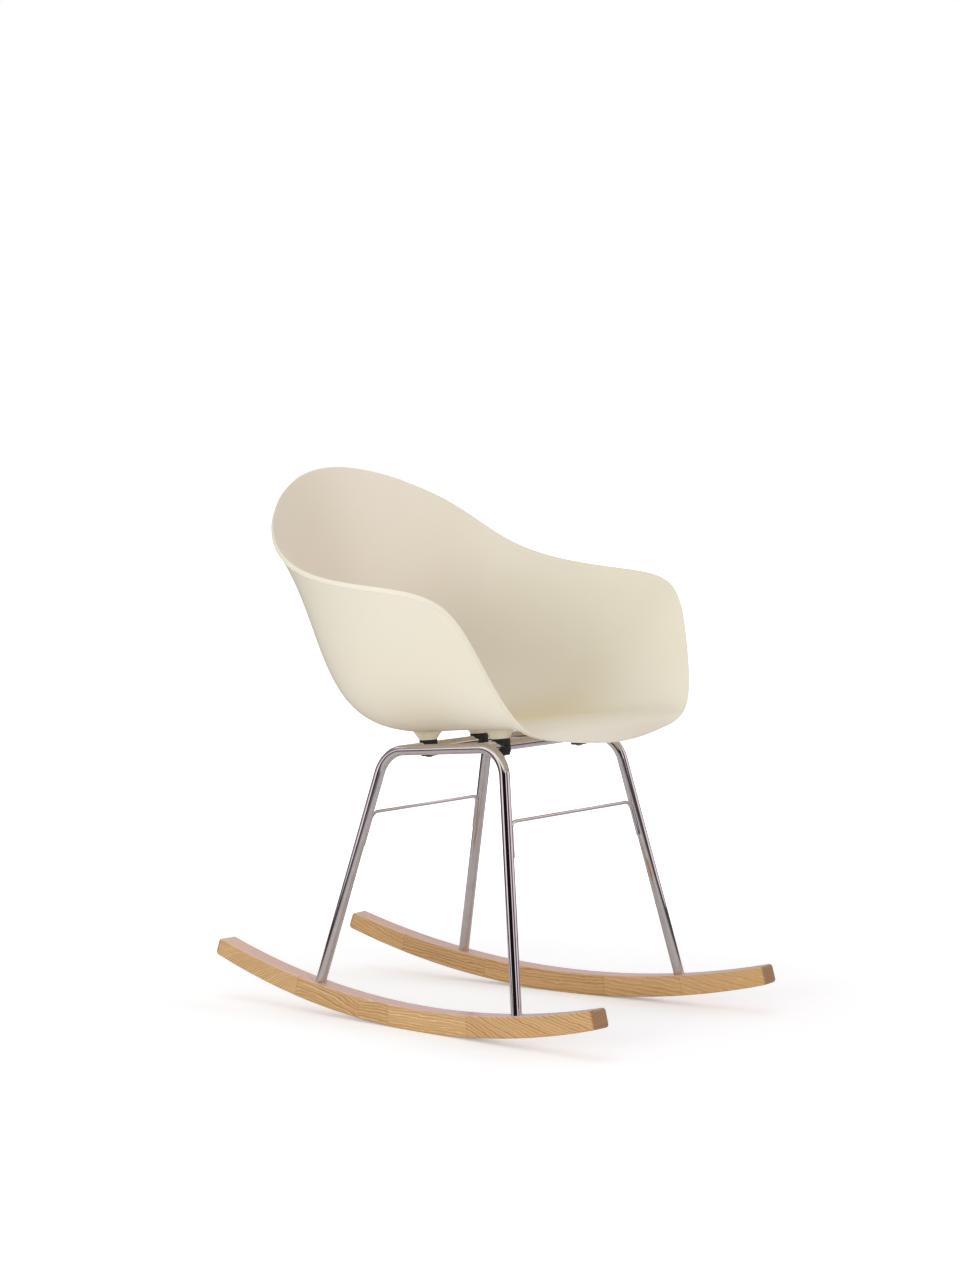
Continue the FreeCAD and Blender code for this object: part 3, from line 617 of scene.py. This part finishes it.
for end in ("front", "rear"):
    bottom, upward = legLine(end)
    planeUp = np.array([0, upward[1], upward[2]])
    steep = np.linalg.norm(planeUp)
    planeUp /= steep
    level = (rod[end + "Height"] - bottom[2]) / planeUp[2]
    inset = tube["diameter"] / 2 + rod["diameter"] / 2 + rod["gap"]
    corner = bottom[0] + upward[0] / steep * level - inset / steep
    tail = corner - upward[0] * rod["tail"]
    low = level - steep * rod["tail"]
    corners = np.array([(tail, low), (corner, level), (-corner, level), (-tail, low)])
    path, headings = bentPath(corners, rod["bend"], 10)
    rings, ends = roundBar(path, headings, np.array([0, bottom[1], bottom[2]]), np.array([1.0, 0, 0]), planeUp,
                           rod["diameter"] / 2, rod["endRound"], rod["around"])
    piece = surface(end + "StretcherRod", [(rings, ends)], chromePlate)
    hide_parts(end + "_stretcher_rod")
print("stretcher rods made")


# Lower saddles: turned about the bolt, with the cap a little deeper than the solid's, as in the photograph. They
# have no groove, so the cross tube passes through them. The profile is (radius, height) pairs.

saddle = {"profile": [(3.3, -0.3), (12.6, -0.3), (13.0, -0.7), (13.0, -8.8), (12.7, -9.1), (12.0, -9.2),
                      (11.9, -9.5), (11.8, -11.9), (11.4, -12.7), (10.6, -13.1), (3.3, -13.1), (3.3, -0.3)],
          "around": 48}
angles = np.linspace(0, 2 * pi, saddle["around"], endpoint=False)[:, None]
spoke = np.cos(angles) * np.array([1.0, 0, 0]) + np.sin(angles) * mountAhead

for end, step in (("front", -1), ("rear", 1)):
    for sideName, sign in (("right", -1), ("left", 1)):
        centre = mountMiddle + mountAhead * (step * mount["depth"] / 2)
        centre = centre + np.array([sign * mount[end + "Spacing"] / 2, 0, 0])
        rings = np.array([centre + spoke * radius + mountUp * height for radius, height in saddle["profile"]])
        piece = surface(end + sideName.capitalize() + "Saddle", [(rings, (None, None))], blackPlastic)
        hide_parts(end + "_" + sideName + "_lower_saddle")
print("saddles made")


# Pieces that keep their solid's shape

kept = {"runner_screw": zincSteel, "seat_bolt": zincSteel, "leg_plug": zincSteel, "boss_insert": bareBrass,
        "mount_block": blackPlastic, "cross_tube": chromePlate,
        "left_runner": leftWood, "right_runner": rightWood}
for name, node in nodes.items():
    for ending, material in kept.items():
        if name.endswith(ending):
            node.data.materials.clear()
            node.data.materials.append(material)
print("solids dressed")


# Floor and light

# The two reaches are distances in metres over which the floor's mirror image darkens and its glow comes up.
# The room is what polished metal sees: bearings from the camera in degrees, and how bright.
studio = {"floor": rgb(252, 254, 254), "floorAside": rgb(240, 238, 238), "floorHalf": 30,
          "paperNear": rgb(214, 212, 213), "paperFar": rgb(88, 80, 84), "paperReach": (0.5, 1.9),
          "glowNear": (0.25, 0.255, 0.26, 1.0), "glowFar": (0.9, 0.9, 0.9, 1.0), "glowReach": (0.5, 1.6),
          "bright": rgb(252, 253, 255), "dim": rgb(240, 228, 236), "ceiling": rgb(178, 176, 174),
          "room": ((-180, 1.0), (-165, 0.45), (-120, 0.28), (-88, 0.42), (-84, 1.5), (-60, 1.5), (-55, 0.012),
                   (18, 0.012), (22, 1.4), (35, 1.4), (41, 0.09), (66, 0.15), (74, 1.3), (112, 1.3), (124, 0.34),
                   (165, 0.45), (180, 1.0)),
          "roomTint": rgb(222, 208, 214), "softbox": 1.25}
lights = {
    "key": {"place": (-3.4, -0.7, 0.8), "aim": (0, 0, 0.5), "width": 1.2, "watts": 36,
            "colour": (0.96, 0.99, 1.04)},
    "top": {"place": (-0.4, 0.6, 3.4), "aim": (0, 0, 0.3), "width": 2.4, "watts": 12, "colour": (1, 1, 1)},
    "fill": {"place": (2.6, -3.0, 1.5), "aim": (0, 0.1, 0.6), "width": 1.8, "watts": 25,
             "colour": (1, 0.90, 0.94)}}
white, black = (1.0, 1.0, 1.0, 1.0), (0.0, 0.0, 0.0, 1.0)


def paper(graph):
    # brighter far away, so that no horizon shows, and duller in the mirror of the metal than to the eye
    _, (x, y, _) = graph.place()
    distance = (x * x + y * y).maths("SQRT")
    seen = graph.node("ShaderNodeLightPath", output="Is Camera Ray")
    mirrored = graph.node("ShaderNodeLightPath", output="Is Glossy Ray")
    reflected = graph.mixed(distance.smooth(*studio["paperReach"]), studio["paperNear"], studio["paperFar"])
    aside = graph.mixed(mirrored, studio["floorAside"], reflected)
    glow = graph.mixed(distance.smooth(*studio["glowReach"]), studio["glowNear"], studio["glowFar"])
    return {"Base Color": graph.mixed(seen, aside, studio["floor"]), "Roughness": 0.8,
            "Specular IOR Level": 0.0, "Emission Color": graph.mixed(seen, black, glow),
            "Emission Strength": 1.0}


half = studio["floorHalf"]
floorMesh = bpy.data.meshes.new("floor")
corners = [(-half, -half, 0), (half, -half, 0), (half, half, 0), (-half, half, 0)]
floorMesh.from_pydata(corners, [], [(0, 1, 2, 3)])
floorMesh.materials.append(finish("floorPaper", paper))
floor = bpy.data.objects.new("floor", floorMesh)
bpy.context.scene.collection.objects.link(floor)


def areaLight(name, lamp):
    data = bpy.data.lights.new(name, "AREA")
    data.shape = "SQUARE"
    data.size = lamp["width"]
    data.energy = lamp["watts"]
    data.color = lamp["colour"]
    light = bpy.data.objects.new(name, data)
    light.location = lamp["place"]
    light.rotation_mode = "QUATERNION"
    light.rotation_quaternion = (Vector(lamp["aim"]) - Vector(lamp["place"])).to_track_quat("-Z", "Y")
    light.visible_glossy = False
    bpy.context.scene.collection.objects.link(light)


for name, lamp in lights.items():
    areaLight(name, lamp)

world = bpy.data.worlds.new("studio")
bpy.context.scene.world = world
world.use_nodes = True
sky = Graph(world.node_tree)
direction = sky.node("ShaderNodeTexCoord", output="Generated")
leftward = Vector((away.y, -away.x, 0)).normalized()
upward = (0, 0, 1)


def towards(axis):
    return sky.node("ShaderNodeVectorMath", {"operation": "DOT_PRODUCT"}, {0: direction, 1: tuple(axis)},
                    "Value")


bearing = (towards(-leftward).maths("ARCTAN2", towards(away)) / (2 * pi)) + 0.5
room = sky.node("ShaderNodeValToRGB", {"stops": [
    (angle / 360 + 0.5, tuple(brightness * channel for channel in studio["roomTint"][:3]))
    for angle, brightness in studio["room"]]}, {0: bearing})
room = sky.mixed(towards(upward).smooth(0.45, 0.65), room, (studio["softbox"],) * 3 + (1.0,))
daylight = sky.mixed(towards(leftward).smooth(-0.7, 0.6), studio["dim"], studio["bright"])
daylight = sky.mixed(towards(upward).smooth(0.2, 0.95), daylight, studio["ceiling"])
mirrored = sky.node("ShaderNodeLightPath", output="Is Glossy Ray")
seen = sky.node("ShaderNodeLightPath", output="Is Camera Ray")
colour = sky.mixed(seen, sky.mixed(mirrored, daylight, room), white)
sky.node("ShaderNodeOutputWorld", inputs={"Surface": sky.node("ShaderNodeBackground", inputs={
    "Color": colour, "Strength": 1.0})})
bpy.context.scene.view_settings.view_transform = "Standard"
print("floor and light set")
